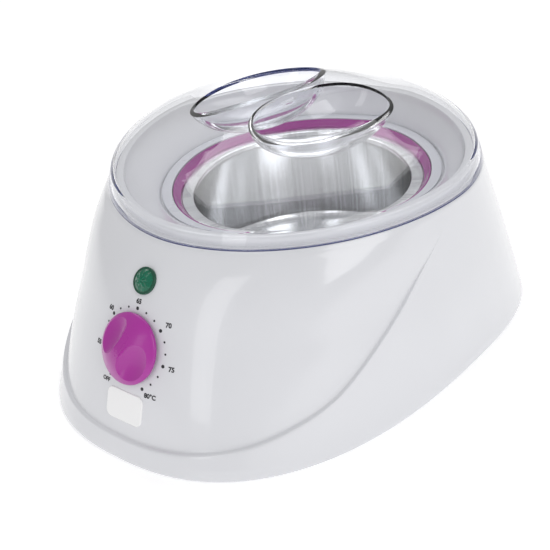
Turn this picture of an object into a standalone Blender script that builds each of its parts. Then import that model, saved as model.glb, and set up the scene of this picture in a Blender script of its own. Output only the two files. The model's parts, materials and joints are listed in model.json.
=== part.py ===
"""Wax warmer pot for nail and beauty work: a free-standing heated pot with a clear lid."""
import math

import bmesh
import bpy
from mathutils import Matrix, Vector

MM = 0.001
FIT = 0.3                      # clearance between neighbouring pieces, mm

# Driving sizes, mm. Heights are measured from the table.
SEAT_Z = 85.0                  # shoulder that the lid sits on
LID_RISE = 32.0                # from the shoulder to the top of the grip
POT_R = 52.0                   # inside radius of the wax pot
POT_FLOOR_Z = 22.9             # inside floor of the pot, over the stand and the wiring
WALL = 2.6                     # moulded wall of the housing
GROUND_GAP = 2.6               # air below the housing

# Outline of the housing round the pot: half width, front and back half depth, corner exponents.
TOP_HALF_WIDTH = POT_R + 38.5
TOP_FRONT = POT_R + 42.0
TOP_BACK = POT_R + 28.0
BASE_HALF_WIDTH = TOP_HALF_WIDTH + 6.2
BASE_BACK = TOP_BACK + 15.5
TOP_EXP_FRONT = 1.9
TOP_EXP_BACK = 1.85
BASE_EXP_FRONT = 2.47
BASE_EXP_BACK = 2.77
# Front face from the table up: height, depth in front of the shoulder, slope. Heights on the face, here and
# below, are drawn for a shoulder at DRAWN_SEAT_Z and stretch with SEAT_Z.
FRONT_KNOTS = ((0.0, 49.0, -0.40), (47.2, 30.2, -0.50), (73.0, 13.9, -0.85), (85.0, 0.0, -1.40))
DRAWN_SEAT_Z = FRONT_KNOTS[-1][0]
STRETCH = SEAT_Z / DRAWN_SEAT_Z
RECESS = 1.8                   # step between the skirt and the front shell
RECESS_FADE = (48.0, 76.0)     # heights between which the step dies away
# Side view of the step: depth behind the pot axis, height.
SWOOSH = ((-160.0, 9.0), (-141.0, 10.0), (-127.0, 12.5), (-116.0, 15.0), (-101.0, 19.5), (-92.0, 22.5),
          (-82.0, 27.0), (-70.7, 34.0), (-59.0, 42.0), (-46.0, 51.5), (-33.0, 62.5), (-23.6, 70.0),
          (-13.0, 79.0))

# Control panel: pieces stand on it along its outward normal.
PANEL_LEAN = math.radians(27.2)
DIAL_Z = 47.2 * STRETCH
KNOB_R = 15.6
KNOB_RIM = 2.3                 # top of the knob's upright rim above the panel
KNOB_H = 8.5                   # crown of the knob above the panel
KNOB_LOW = 0.9                 # underside of the knob above the panel
KNOB_SET = 235.0               # where the grip points at rest, degrees
NECK_R = 3.8                   # thermostat neck through the panel
NUT_R = 7.4
SHAFT_R = 2.6
SHAFT_TOP = KNOB_H - 2.5
STAT_BACK = -24.0              # rear face of the thermostat, behind the panel
BLADE_X = 6.0
LAMP_R = 6.0
LENS_STEM_R = 5.0
LAMP_Z = 73.0 * STRETCH
LABEL_Z = 22.9 * STRETCH
LABEL_SIZE = (21.0, 14.0, 0.8)
LABEL_ROUND = 3.2

# Mouth of the housing, from the lid inwards.
RIM_INSET = 4.5
RIM_WIDTH = 4.0
RIM_TOP = SEAT_Z + 4.4
FLANGE_Z = SEAT_Z - 15.1       # upper face of the pot's flange
FLANGE_R = POT_R + 5.8
FUNNEL_R = FLANGE_R + 3.7
COLLAR_R = FUNNEL_R + 5.2
COLLAR_TOP = FLANGE_Z + 4.0
WELL_FLOOR_Z = COLLAR_TOP - 1.3
WELL_FLOOR_R = COLLAR_R + 0.7
MOUTH_R = FUNNEL_R + 0.5
LID_WALL = 2.2
LID_INSET = 0.2
CHAMBER_WALL = 1.5
POT_WALL = 0.9
SLEEVE_WALL = 1.4
CHAMBER_IN = POT_R + POT_WALL + 0.5
CHAMBER_OUT = CHAMBER_IN + CHAMBER_WALL
CHAMBER_RIM = FLANGE_Z - POT_WALL - FIT
CHAMBER_BOTTOM = POT_FLOOR_Z - POT_WALL - FIT
STAND_TOP = CHAMBER_BOTTOM - CHAMBER_WALL - FIT
STAND_R = POT_R - 14.0
BOSS_R = 4.0
BOSS_LOW = CHAMBER_BOTTOM - CHAMBER_WALL - 8.0
FUSE_Y = STAND_R + 9.0
TERMINAL_Y = POT_R + 20.0
BAND_LOW = CHAMBER_BOTTOM + 5.3
BAND_HIGH = CHAMBER_RIM - 18.7
BAND_WALL = 1.6
BAND_R = CHAMBER_OUT + FIT
CLAMP_Z = (BAND_LOW + BAND_HIGH) / 2.0
BULB_Z = BAND_HIGH - 3.5       # sensing bulb and leads, in the gap of the heater
LEAD_Z = BAND_LOW + 3.0
GAP_HALF = 13.0                # half angle of the heater's front gap, degrees

SCREW_R = 1.5
FOOT_R = 7.5
FOOT_STEM_R = 2.2
POST_R = 4.2
POST_TOP = SEAT_Z - 30.0
POST_XY = ((BASE_HALF_WIDTH - 14.7, POT_R - 18.0), (BASE_HALF_WIDTH - 20.7, -POT_R - 10.0))
FOOT_XY = ((POT_R + 12.0, BASE_BACK - 35.5), (POT_R + 12.0, 2.0 - TOP_FRONT))
FLOOR_INNER = GROUND_GAP + 4.0     # upper face of the base plate
GLAND_Z = 20.0
GLAND_R = 5.5

# Finger recesses of the lid: two bowls side by side, their long way turned from across the front.
GRIP_TURN = math.radians(65.0)
CUP_HALF = (33.3, 20.8)
GRIP_MID = (-0.9, -2.0)        # middle of the pair, from the pot axis
CUP_SHIFT = 5.9
CUP_OFF = 22.4
CUP_DEPTH = 18.5
CUP_LEVEL = SEAT_Z + LID_RISE - 3.0

WIDEST_Z = 6.0                 # top of the rounded bottom edge
SEGMENTS = 56                  # points round the housing and the lid
INNER_SEGMENTS = 36            # points round hidden faces
TURN_STEPS = 32                # steps round a turned piece
WALL_LEVELS = [z * STRETCH for z in (13.0, 22.0, 32.0, 42.0, 52.0, 61.0, 69.0, 76.0)]
CUPS = (1, -1)


def purge():
    for obj in list(bpy.data.objects):
        bpy.data.objects.remove(obj, do_unlink=True)


def group(name):
    col = bpy.data.collections.new(name)
    bpy.context.scene.collection.children.link(col)
    return col


def material(name, colour, rough, metal=0.0, glass=0.0):
    mat = bpy.data.materials.new(name)
    mat.use_nodes = True
    shader = mat.node_tree.nodes["Principled BSDF"]
    shader.inputs["Base Color"].default_value = (*colour, 1.0)
    shader.inputs["Roughness"].default_value = rough
    shader.inputs["Metallic"].default_value = metal
    shader.inputs["Transmission Weight"].default_value = glass
    mat.diffuse_color = (*colour, 1.0)
    return mat


purge()
PARTS = group("wax_warmer_pot")
TOOLS = group("cutters")
TOOLS.hide_render = True


def place(mesh, name, mat=None, frame=None, col=None):
    obj = bpy.data.objects.new(name, mesh)
    (col or PARTS).objects.link(obj)
    if frame is not None:
        obj.matrix_world = frame
    if mat is not None:
        mesh.materials.clear()
        mesh.materials.append(mat)
    if col is TOOLS:
        obj.hide_render = True
        obj.display_type = "WIRE"
    return obj


def cut(obj, tool, operation="DIFFERENCE"):
    mod = obj.modifiers.new(tool.name[:40], "BOOLEAN")
    mod.operation = operation
    mod.solver = "EXACT"
    mod.object = tool
    return obj


def tool(mesh, name, frame=None):
    return place(mesh, "cut_" + name, frame=frame, col=TOOLS)


def bake(obj):
    """The object's mesh with its modifiers applied, and the object removed."""
    bpy.context.view_layer.update()
    graph = bpy.context.evaluated_depsgraph_get()
    mesh = bpy.data.meshes.new_from_object(obj.evaluated_get(graph), depsgraph=graph)
    bpy.data.objects.remove(obj, do_unlink=True)
    bm = bmesh.new()
    bm.from_mesh(mesh)
    bmesh.ops.remove_doubles(bm, verts=bm.verts, dist=1e-6)
    bmesh.ops.recalc_face_normals(bm, faces=bm.faces)
    bm.to_mesh(mesh)
    bm.free()
    return mesh


def turned(profile, steps=TURN_STEPS, closed=True):
    """Solid of revolution about Z through the Screw modifier. Profile points are (radius, height), mm."""
    mesh = bpy.data.meshes.new("profile")
    points = [(r * MM, 0.0, z * MM) for r, z in profile]
    edges = [(i, i + 1) for i in range(len(points) - 1)]
    if closed:
        edges.append((len(points) - 1, 0))
    mesh.from_pydata(points, edges, [])
    obj = bpy.data.objects.new("profile", mesh)
    TOOLS.objects.link(obj)
    mod = obj.modifiers.new("screw", "SCREW")
    mod.axis = "Z"
    mod.steps = steps
    mod.render_steps = steps
    mod.use_merge_vertices = True
    mod.merge_threshold = 0.00001
    return bake(obj)


def disc(radius, low, high, steps=TURN_STEPS):
    return turned([(0.0, high), (radius, high), (radius, low), (0.0, low)], steps, closed=False)


def ring(inner, outer, low, high, steps=TURN_STEPS):
    return turned([(inner, high), (outer, high), (outer, low), (inner, low)], steps)


def block(size, centre):
    bm = bmesh.new()
    bmesh.ops.create_cube(bm, size=1.0)
    bmesh.ops.scale(bm, vec=[s * MM for s in size], verts=bm.verts)
    bmesh.ops.translate(bm, vec=[c * MM for c in centre], verts=bm.verts)
    mesh = bpy.data.meshes.new("block")
    bm.to_mesh(mesh)
    bm.free()
    return mesh


def soft_block(size, centre, radius, segments=3):
    """Block with its upright edges and its faces' rims rounded."""
    mesh = block(size, centre)
    obj = place(mesh, "soft", col=TOOLS)
    mod = obj.modifiers.new("bevel", "BEVEL")
    mod.width = radius * MM
    mod.segments = segments
    return bake(obj)


def prism(outline, low, high, axis="X"):
    """Outline extruded along X from low to high. Outline points are (y, z), mm."""
    bm = bmesh.new()
    front = [bm.verts.new((low * MM, y * MM, z * MM)) for y, z in outline]
    face = bm.faces.new(front)
    out = bmesh.ops.extrude_face_region(bm, geom=[face])
    moved = [v for v in out["geom"] if isinstance(v, bmesh.types.BMVert)]
    bmesh.ops.translate(bm, vec=((high - low) * MM, 0.0, 0.0), verts=moved)
    bmesh.ops.recalc_face_normals(bm, faces=bm.faces)
    mesh = bpy.data.meshes.new("prism")
    bm.to_mesh(mesh)
    bm.free()
    return mesh


def loft(rings, poles=(False, False)):
    """Skin over rings of equal length. A pole closes an end on a point, and else the end is one face."""
    bm = bmesh.new()
    rows = []
    for points in rings:
        rows.append([bm.verts.new([c * MM for c in p]) for p in points])
    count = len(rows[0])
    for lower, upper in zip(rows, rows[1:]):
        for i in range(count):
            j = (i + 1) % count
            bm.faces.new((lower[i], lower[j], upper[j], upper[i]))
    for row, pole in ((rows[0], poles[0]), (rows[-1], poles[1])):
        if pole:
            mid = sum((v.co for v in row), Vector()) / count
            tip = bm.verts.new(mid)
            for i in range(count):
                bm.faces.new((row[i], row[(i + 1) % count], tip))
        else:
            bm.faces.new(row)
    bmesh.ops.recalc_face_normals(bm, faces=bm.faces)
    mesh = bpy.data.meshes.new("loft")
    bm.to_mesh(mesh)
    bm.free()
    return mesh


def rounded(width, height, radius, z):
    """Ring of a rectangle with rounded corners."""
    points = []
    for corner_x, corner_y, start in ((1, 1, 0), (-1, 1, 90), (-1, -1, 180), (1, -1, 270)):
        for step in range(5):
            angle = math.radians(start + 22.5 * step)
            points.append((corner_x * (width / 2.0 - radius) + radius * math.cos(angle),
                           corner_y * (height / 2.0 - radius) + radius * math.sin(angle), z))
    return points


def tube(points, radii, resolution=3, bevel=2):
    """Round tube through the points, with filled ends."""
    curve = bpy.data.curves.new("tube", "CURVE")
    curve.dimensions = "3D"
    curve.resolution_u = resolution
    curve.bevel_depth = MM
    curve.bevel_resolution = bevel
    curve.use_fill_caps = True
    line = curve.splines.new("NURBS")
    line.points.add(len(points) - 1)
    line.use_endpoint_u = True
    line.order_u = 3
    for spot, xyz, radius in zip(line.points, points, radii):
        spot.co = (*[c * MM for c in xyz], 1.0)
        spot.radius = radius
    obj = bpy.data.objects.new("tube", curve)
    TOOLS.objects.link(obj)
    return bake(obj)


def smooth(low, high, x):
    u = min(max((x - low) / (high - low), 0.0), 1.0)
    return u * u * (3.0 - 2.0 * u)


def mix(a, b, t):
    return a + (b - a) * t


def front_depth(z):
    """Depth of the skirt's front face in front of the pot axis, by cubic pieces between the knots."""
    z = min(max(z / STRETCH, FRONT_KNOTS[0][0]), DRAWN_SEAT_Z)
    for (z0, y0, s0), (z1, y1, s1) in zip(FRONT_KNOTS, FRONT_KNOTS[1:]):
        if z <= z1:
            break
    span = z1 - z0
    u = (z - z0) / span
    near = (2 * u ** 3 - 3 * u ** 2 + 1) * y0 + (u ** 3 - 2 * u ** 2 + u) * span * s0
    return TOP_FRONT + near + (3 * u ** 2 - 2 * u ** 3) * y1 + (u ** 3 - u ** 2) * span * s1


def recess(z):
    return RECESS * (1.0 - smooth(*RECESS_FADE, z / STRETCH))


def taper(z):
    return min(max((SEAT_Z - z) / SEAT_Z, 0.0), 1.0)


def back_depth(z):
    return mix(TOP_BACK, BASE_BACK, taper(z))


# The pot axis stands behind the middle of the outline, so that the whole part is centred.
POT_Y = (front_depth(WIDEST_Z) - back_depth(WIDEST_Z)) / 2.0


def oval(width, front, back, exp_front, exp_back, inset, height, count=SEGMENTS):
    """Ring of an egg-shaped outline round the pot axis. Height is a number or a function of x and y."""
    points = []
    for i in range(count):
        angle = 2.0 * math.pi * i / count
        c, s = math.cos(angle), math.sin(angle)
        depth, exponent = (front, exp_front) if s < 0 else (back, exp_back)
        x = (width - inset) * math.copysign(abs(c) ** (2.0 / exponent), c)
        y = (depth - inset) * math.copysign(abs(s) ** (2.0 / exponent), s)
        z = height(x, y) if callable(height) else height
        points.append((x, y + POT_Y, z))
    return points


def body_ring(z, inset=0.0, count=SEGMENTS):
    t = taper(z)
    return oval(mix(TOP_HALF_WIDTH, BASE_HALF_WIDTH, t), front_depth(z), back_depth(z),
                mix(TOP_EXP_FRONT, BASE_EXP_FRONT, t), mix(TOP_EXP_BACK, BASE_EXP_BACK, t), inset, z, count)


def top_ring(inset, height, count=SEGMENTS):
    return oval(TOP_HALF_WIDTH, TOP_FRONT, TOP_BACK, TOP_EXP_FRONT, TOP_EXP_BACK, inset, height, count)


def round_ring(radius, z, count=SEGMENTS):
    return oval(radius, radius, radius, 2.0, 2.0, 0.0, z, count)


def blend(one, two, t):
    return [tuple(mix(a, b, t) for a, b in zip(p, q)) for p, q in zip(one, two)]


def at_height(points, z):
    return [(x, y, z) for x, y, _ in points]


POT = Matrix.Translation((0.0, POT_Y * MM, 0.0))


def panel_frame(z, lean=PANEL_LEAN, lift=0.0):
    """Frame on the front face at height z: local Z points outwards and local Y up the face."""
    normal = Vector((0.0, -math.cos(lean), math.sin(lean)))
    spot = Vector((0.0, POT_Y - front_depth(z) + recess(z), z)) + normal * lift
    return Matrix.Translation(spot * MM) @ Matrix.Rotation(math.pi / 2.0 - lean, 4, "X")


def lean_at(z):
    step = 1.0
    high, low = front_depth(z + step) - recess(z + step), front_depth(z - step) - recess(z - step)
    return math.atan2(low - high, 2.0 * step)


DIAL = panel_frame(DIAL_Z)
LAMP = panel_frame(LAMP_Z, lean_at(LAMP_Z))
LABEL = panel_frame(LABEL_Z, lean_at(LABEL_Z))

WHITE = material("housing_white", (0.86, 0.86, 0.88), 0.18)
GREY = material("collar_grey", (0.74, 0.75, 0.78), 0.35)
MAGENTA = material("accent_magenta", (0.48, 0.05, 0.38), 0.3)
KNOB_PINK = material("knob_magenta", (0.50, 0.06, 0.42), 0.35)
CLEAR = material("lid_clear", (0.96, 0.97, 1.0), 0.03, glass=1.0)
GREEN = material("lamp_green", (0.01, 0.32, 0.14), 0.08, glass=0.6)
ALUMINIUM = material("pot_aluminium", (0.78, 0.79, 0.80), 0.28, 1.0)
CAST = material("chamber_aluminium", (0.62, 0.63, 0.64), 0.45, 1.0)
STEEL = material("plated_steel", (0.62, 0.62, 0.64), 0.3, 1.0)
RUBBER = material("foot_rubber", (0.10, 0.10, 0.11), 0.85)
BASE_WHITE = material("base_white", (0.80, 0.80, 0.82), 0.45)
SILICONE = material("heater_silicone", (0.62, 0.20, 0.08), 0.7)
GLASS_FIBRE = material("glass_fibre_wrap", (0.80, 0.78, 0.70), 0.95)
CERAMIC = material("terminal_ceramic", (0.85, 0.83, 0.78), 0.6)
BLACK = material("thermostat_black", (0.05, 0.05, 0.055), 0.5)
COPPER = material("bulb_copper", (0.72, 0.35, 0.22), 0.3, 1.0)
BRASS = material("shaft_brass", (0.72, 0.55, 0.25), 0.35, 1.0)
LABEL_WHITE = material("label_white", (0.88, 0.88, 0.86), 0.4)
GLAND_GREY = material("gland_grey", (0.30, 0.30, 0.32), 0.6)
WIRE_RED = material("lead_red", (0.55, 0.06, 0.05), 0.5)
WIRE_BLUE = material("lead_blue", (0.05, 0.12, 0.50), 0.5)


def well(extra, count=SEGMENTS):
    """Sloping mouth of the housing, grown by a wall when it is used to keep the cavity off it."""
    edge = RIM_INSET + RIM_WIDTH - extra
    bottom = round_ring(WELL_FLOOR_R + extra, WELL_FLOOR_Z - extra, count)
    rings = [top_ring(edge, RIM_TOP + 10.0, count), top_ring(edge, RIM_TOP - 1.2, count)]
    for drop, t in ((3.4, 0.06), (7.4, 0.30), (11.4, 0.64), (14.4, 0.92)):
        z = RIM_TOP - drop
        rings.append(at_height(blend(top_ring(edge, z, count), bottom, t), z - extra))
    rings.append(bottom)
    return loft(rings)


def housing_outer():
    rings = [body_ring(GROUND_GAP, 2.2), body_ring(GROUND_GAP + 0.7, 0.9), body_ring(GROUND_GAP + 1.9, 0.2)]
    rings += [body_ring(z) for z in [WIDEST_Z] + WALL_LEVELS]
    rings += [body_ring(SEAT_Z - 2.4), body_ring(SEAT_Z - 0.6), top_ring(0.5, SEAT_Z)]
    rings += [top_ring(RIM_INSET - 0.4, SEAT_Z), top_ring(RIM_INSET, RIM_TOP - 1.0)]
    rings += [top_ring(RIM_INSET + 0.35, RIM_TOP - 0.3), top_ring(RIM_INSET + 1.1, RIM_TOP)]
    return loft(rings)


def corner(x, y, side):
    """Upright frame at a point given from the pot axis, mirrored to either side."""
    return Matrix.Translation((side * x * MM, (y + POT_Y) * MM, 0.0))


def corners(spots):
    return [(x, y, side) for x, y in spots for side in (1, -1)]


REAR = Matrix.Translation((0.0, (POT_Y + back_depth(GLAND_Z)) * MM, GLAND_Z * MM)) @ Matrix.Rotation(
    -math.pi / 2.0, 4, "X")


def front_shell_cutter():
    """Layer between the skirt and the front shell, above the swoosh line."""
    line = [(y + POT_Y, z * STRETCH) for y, z in SWOOSH]
    above = SEAT_Z + 7.0
    outline = line + [(line[-1][0], above), (line[0][0], above)]
    front = place(prism(outline, -120.0, 120.0), "front_region", col=TOOLS)
    heights = [0.0, WIDEST_Z] + WALL_LEVELS + [SEAT_Z]
    cut(front, place(loft([body_ring(z, recess(z)) for z in heights]), "set_back", col=TOOLS))
    return bake(front)


def cavity_cutter():
    """Space inside the housing, kept off the mouth and the screw posts."""
    gap = WALL + 0.2
    rings = [at_height(body_ring(0.0, gap + RECESS, INNER_SEGMENTS), -3.0)]
    for z in [WIDEST_Z] + WALL_LEVELS[1::2] + [SEAT_Z - WALL - 0.6]:
        rings.append(body_ring(z, gap + recess(z), INNER_SEGMENTS))
    hollow = place(loft(rings), "hollow", col=TOOLS)
    cut(hollow, place(well(WALL, INNER_SEGMENTS), "well_wall", col=TOOLS))
    for i, spot in enumerate(corners(POST_XY)):
        post = disc(POST_R, FLOOR_INNER + FIT, POST_TOP, 24)
        cut(hollow, place(post, "post_%d" % i, frame=corner(*spot), col=TOOLS))
    return bake(hollow)


def housing():
    obj = place(housing_outer(), "upper_housing", WHITE)
    cut(obj, tool(front_shell_cutter(), "front_shell"))
    cut(obj, tool(cavity_cutter(), "cavity"))
    cut(obj, tool(well(0.0), "well"))
    cut(obj, tool(disc(MOUTH_R, WELL_FLOOR_Z - 12.0, WELL_FLOOR_Z + 8.0), "mouth", POT))
    cut(obj, tool(disc(NECK_R + FIT, -12.0, 12.0, 32), "shaft_hole", DIAL))
    cut(obj, tool(disc(LENS_STEM_R + FIT, -14.0, 12.0, 32), "lamp_hole", LAMP))
    cut(obj, tool(disc(LAMP_R + FIT, -0.9, 8.0, 48), "lamp_seat", LAMP))
    wide, tall, thick = LABEL_SIZE
    pocket = [rounded(wide + 2 * FIT, tall + 2 * FIT, LABEL_ROUND + FIT, z) for z in (-thick, 7.0)]
    cut(obj, tool(loft(pocket), "label_seat", LABEL))
    cut(obj, tool(disc(GLAND_R + FIT, -12.0, 6.0, 32), "gland_hole", REAR))
    cut(obj, tool(disc(GLAND_R + 3.2, -0.6, 8.0, 32), "gland_seat", REAR))
    for i, spot in enumerate(corners(POST_XY)):
        cut(obj, tool(disc(SCREW_R + FIT, 0.0, 22.0, 24), "post_bore_%d" % i, corner(*spot)))


def lid_height(rho, x, y, drop):
    """Height of the lid's skin at a fraction rho of its outline. The grip swells the crown."""
    crown = LID_RISE - 14.5 - drop
    swell = 7.5 * math.exp(-(math.hypot(x, y) / 46.0) ** 4)
    return SEAT_Z + 7.0 + crown * (1.0 - min(rho / 0.978, 1.0) ** 2.7) ** 0.66 + swell


def lid_skin(inset, drop, base, count):
    width, front, back = TOP_HALF_WIDTH - inset, TOP_FRONT - inset, TOP_BACK - inset
    rings = []
    for z, rho in ((base, 1.0), (SEAT_Z + 1.2, 0.998), (SEAT_Z + 4.0, 0.990)):
        rings.append(oval(width * rho, front * rho, back * rho, TOP_EXP_FRONT, TOP_EXP_BACK, 0.0, z, count))
    for rho in (0.978, 0.968, 0.945, 0.91, 0.86, 0.79, 0.70, 0.60, 0.49, 0.37, 0.25, 0.12):
        rings.append(oval(width * rho, front * rho, back * rho, TOP_EXP_FRONT, TOP_EXP_BACK, 0.0,
                          lambda x, y, r=rho: lid_height(r, x, y, drop), count))
    return loft(rings, poles=(False, True))


def ellipsoid(half, around, down):
    bm = bmesh.new()
    bmesh.ops.create_uvsphere(bm, u_segments=around, v_segments=down, radius=1.0)
    bmesh.ops.scale(bm, vec=[h * MM for h in half], verts=bm.verts)
    mesh = bpy.data.meshes.new("ellipsoid")
    bm.to_mesh(mesh)
    bm.free()
    return mesh


def cup(sign, grow):
    """Bowl of one finger recess: an ellipsoid centred near the crown's surface."""
    mesh = ellipsoid([half + grow for half in (*CUP_HALF, CUP_DEPTH)], 32, 16)
    along = Vector((math.cos(GRIP_TURN), math.sin(GRIP_TURN), 0.0))
    across = Vector((math.sin(GRIP_TURN), -math.cos(GRIP_TURN), 0.0))
    middle = Vector((GRIP_MID[0], GRIP_MID[1] + POT_Y, CUP_LEVEL))
    centre = middle + (along * CUP_SHIFT + across * CUP_OFF) * sign
    return mesh, Matrix.Translation(centre * MM) @ Matrix.Rotation(GRIP_TURN, 4, "Z")


def lid():
    obj = place(lid_skin(LID_INSET, 0.0, SEAT_Z + FIT, SEGMENTS), "clear_lid", CLEAR)
    inside = lid_skin(LID_INSET + LID_WALL, LID_WALL, SEAT_Z - 6.0, INNER_SEGMENTS)
    hollow = place(inside, "lid_hollow", col=TOOLS)
    for sign in CUPS:
        mesh, frame = cup(sign, LID_WALL)
        cut(hollow, place(mesh, "cup_wall", frame=frame, col=TOOLS))
    cut(obj, tool(bake(hollow), "lid_cavity"))
    for sign in CUPS:
        mesh, frame = cup(sign, 0.0)
        cut(obj, tool(mesh, "cup_%s" % ("near" if sign > 0 else "far"), frame))
    mesh = bake(obj)
    origin = Matrix.Translation((0.0, POT_Y * MM, (SEAT_Z + FIT) * MM))
    mesh.transform(origin.inverted())
    return place(mesh, "clear_lid", CLEAR, origin)


def mouth_rings():
    low = WELL_FLOOR_Z + FIT
    inner = FUNNEL_R + FIT
    place(turned([(inner, COLLAR_TOP - 0.4), (inner + 0.4, COLLAR_TOP), (COLLAR_R - 0.6, COLLAR_TOP),
                  (COLLAR_R, COLLAR_TOP - 0.5), (COLLAR_R, low), (inner, low)]), "collar_ring", GREY, POT)
    throat = FLANGE_R + FIT
    sleeve = FUNNEL_R - SLEEVE_WALL
    foot = CHAMBER_RIM + FIT
    place(turned([(throat, FLANGE_Z + 0.3), (throat + 0.9, FLANGE_Z + 1.2),
                  (FUNNEL_R - 0.9, COLLAR_TOP - 0.7), (FUNNEL_R - 0.4, COLLAR_TOP - 0.4),
                  (FUNNEL_R, COLLAR_TOP - 0.7), (FUNNEL_R, foot - 4.0), (sleeve, foot - 4.0), (sleeve, foot),
                  (throat, foot)]), "accent_ring", MAGENTA, POT)


def pot():
    flange_low = FLANGE_Z - POT_WALL
    bottom = POT_FLOOR_Z
    outer = POT_R + POT_WALL
    profile = [(0.0, bottom), (POT_R - 5.0, bottom), (POT_R - 2.0, bottom + 0.8),
               (POT_R - 0.6, bottom + 2.6), (POT_R, bottom + 6.0), (POT_R, FLANGE_Z - 3.2), (POT_R - 0.5, FLANGE_Z - 2.6),
               (POT_R - 0.6, FLANGE_Z - 1.9), (POT_R - 0.1, FLANGE_Z - 1.3), (POT_R, FLANGE_Z - 0.6),
               (POT_R + 0.7, FLANGE_Z), (FLANGE_R - 0.3, FLANGE_Z), (FLANGE_R, FLANGE_Z - 0.3),
               (FLANGE_R, flange_low + 0.1), (FLANGE_R - 0.3, flange_low), (outer + 0.5, flange_low),
               (outer, flange_low - 0.6), (outer, bottom + 6.0), (outer - 0.6, bottom + 1.6),
               (outer - 2.2, bottom - 0.3), (outer - 5.0, bottom - POT_WALL), (0.0, bottom - POT_WALL)]
    mesh = turned(profile[::-1], closed=False)
    mesh.transform(Matrix.Translation((0.0, 0.0, -FLANGE_Z * MM)))
    place(mesh, "wax_pot", ALUMINIUM, POT @ Matrix.Translation((0.0, 0.0, FLANGE_Z * MM)))


def chamber():
    top, floor, under = CHAMBER_RIM, CHAMBER_BOTTOM, CHAMBER_BOTTOM - CHAMBER_WALL
    lip = FUNNEL_R - SLEEVE_WALL - FIT
    profile = [(0.0, floor), (CHAMBER_IN - 4.0, floor), (CHAMBER_IN - 1.0, floor + 0.7),
               (CHAMBER_IN, floor + 3.0), (CHAMBER_IN, top - 0.4), (CHAMBER_IN + 0.4, top), (lip, top),
               (lip, top - CHAMBER_WALL), (CHAMBER_OUT, top - CHAMBER_WALL), (CHAMBER_OUT, under + 3.0),
               (CHAMBER_OUT - 1.0, under + 0.6), (CHAMBER_OUT - 3.0, under), (BOSS_R, under),
               (BOSS_R, BOSS_LOW), (0.0, BOSS_LOW)]
    obj = place(turned(profile[::-1], closed=False), "heating_chamber", CAST, POT)
    cut(obj, tool(disc(SCREW_R + FIT, BOSS_LOW - 2.0, under - 0.6, 24), "boss_bore", POT))
    low = FLOOR_INNER + FIT
    place(turned([(BOSS_R + FIT, STAND_TOP), (STAND_R, STAND_TOP), (STAND_R, low + 2.0),
                  (STAND_R + 4.0, low + 2.0), (STAND_R + 4.0, low), (STAND_R - 2.0, low), (STAND_R - 2.0, STAND_TOP - 2.0),
                  (BOSS_R + FIT, STAND_TOP - 2.0)]), "chamber_stand", STEEL, POT)


def wedge(half_angle):
    reach = POT_R + 38.0
    half = reach * math.tan(math.radians(half_angle))
    low = [(0.0, 0.0, 0.0), (half, -reach, 0.0), (-half, -reach, 0.0)]
    return loft([low, [(x, y, SEAT_Z) for x, y, _ in low]])


def open_ring(mesh, name, mat, half_angle):
    """Ring with a gap of the given half angle at the front, for the bulb and the leads."""
    obj = place(mesh, name, mat, POT)
    return cut(obj, tool(wedge(half_angle), name + "_gap", POT))


def heater():
    open_ring(ring(BAND_R, BAND_R + BAND_WALL, BAND_LOW, BAND_HIGH), "heater_band", SILICONE, GAP_HALF)
    inner = BAND_R + BAND_WALL + FIT
    clamp = open_ring(ring(inner, inner + 0.7, CLAMP_Z - 3.5, CLAMP_Z + 3.5), "heater_clamp", STEEL,
                      GAP_HALF - 2.0)
    edge = math.radians(GAP_HALF - 2.0)
    forward = inner * math.cos(edge)
    for side in (1, -1):
        ear = block((0.9, 6.0, 7.0), (side * (inner * math.sin(edge) + 0.45), -forward - 2.5, CLAMP_Z))
        cut(clamp, tool(ear, "ear_%d" % (side + 1), POT), "UNION")
    across = POT @ Matrix.Translation((0.0, -(forward + 3.6) * MM, CLAMP_Z * MM)) @ Matrix.Rotation(
        math.pi / 2.0, 4, "Y")
    cut(clamp, tool(disc(SCREW_R + FIT, -20.0, 20.0, 20), "clamp_bore", across))
    reach = inner * math.sin(edge) + 3.2
    bolt = [(0.0, reach), (2.8, reach), (2.8, reach - 1.6), (SCREW_R, reach - 1.6), (SCREW_R, -reach),
            (0.0, -reach)]
    place(turned(bolt, 24, closed=False), "clamp_screw", STEEL, across)
    wrap = inner + 0.7 + FIT
    open_ring(ring(wrap, wrap + 1.8, BAND_LOW - 2.0, BAND_HIGH + 2.0), "insulation_wrap", GLASS_FIBRE,
              GAP_HALF + 3.0)


def base():
    low, high = GROUND_GAP + 1.0, FLOOR_INNER
    inset = WALL + RECESS + 0.2 + 0.4
    obj = place(loft([body_ring(low, inset, INNER_SEGMENTS), body_ring(high, inset, INNER_SEGMENTS)]),
                "base_plate", BASE_WHITE)
    for i, spot in enumerate(corners(POST_XY)):
        cut(obj, tool(disc(SCREW_R + FIT, 0.0, 12.0, 24), "base_screw_%d" % i, corner(*spot)))
    for i, spot in enumerate(corners(FOOT_XY)):
        cut(obj, tool(disc(FOOT_STEM_R + FIT, 0.0, 12.0, 24), "base_foot_%d" % i, corner(*spot)))
    cut(obj, tool(disc(SCREW_R + FIT, 0.0, 12.0, 24), "base_centre", POT))
    for i in range(4):
        slot = soft_block((40.0, 2.6, 12.0), (0.0, -STAND_R - 16.0 - 6.0 * i, 5.0), 1.2, 1)
        cut(obj, tool(slot, "vent_%d" % (i + 1), POT))


def screw_mesh(top, under):
    """Pan head screw from its tip down to its head, which hangs below the base plate."""
    return turned([(0.0, top), (SCREW_R, top), (SCREW_R, under), (3.0, under), (3.0, under - 0.9),
                   (2.2, under - 1.7), (0.0, under - 1.7)], 16, closed=False)


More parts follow.
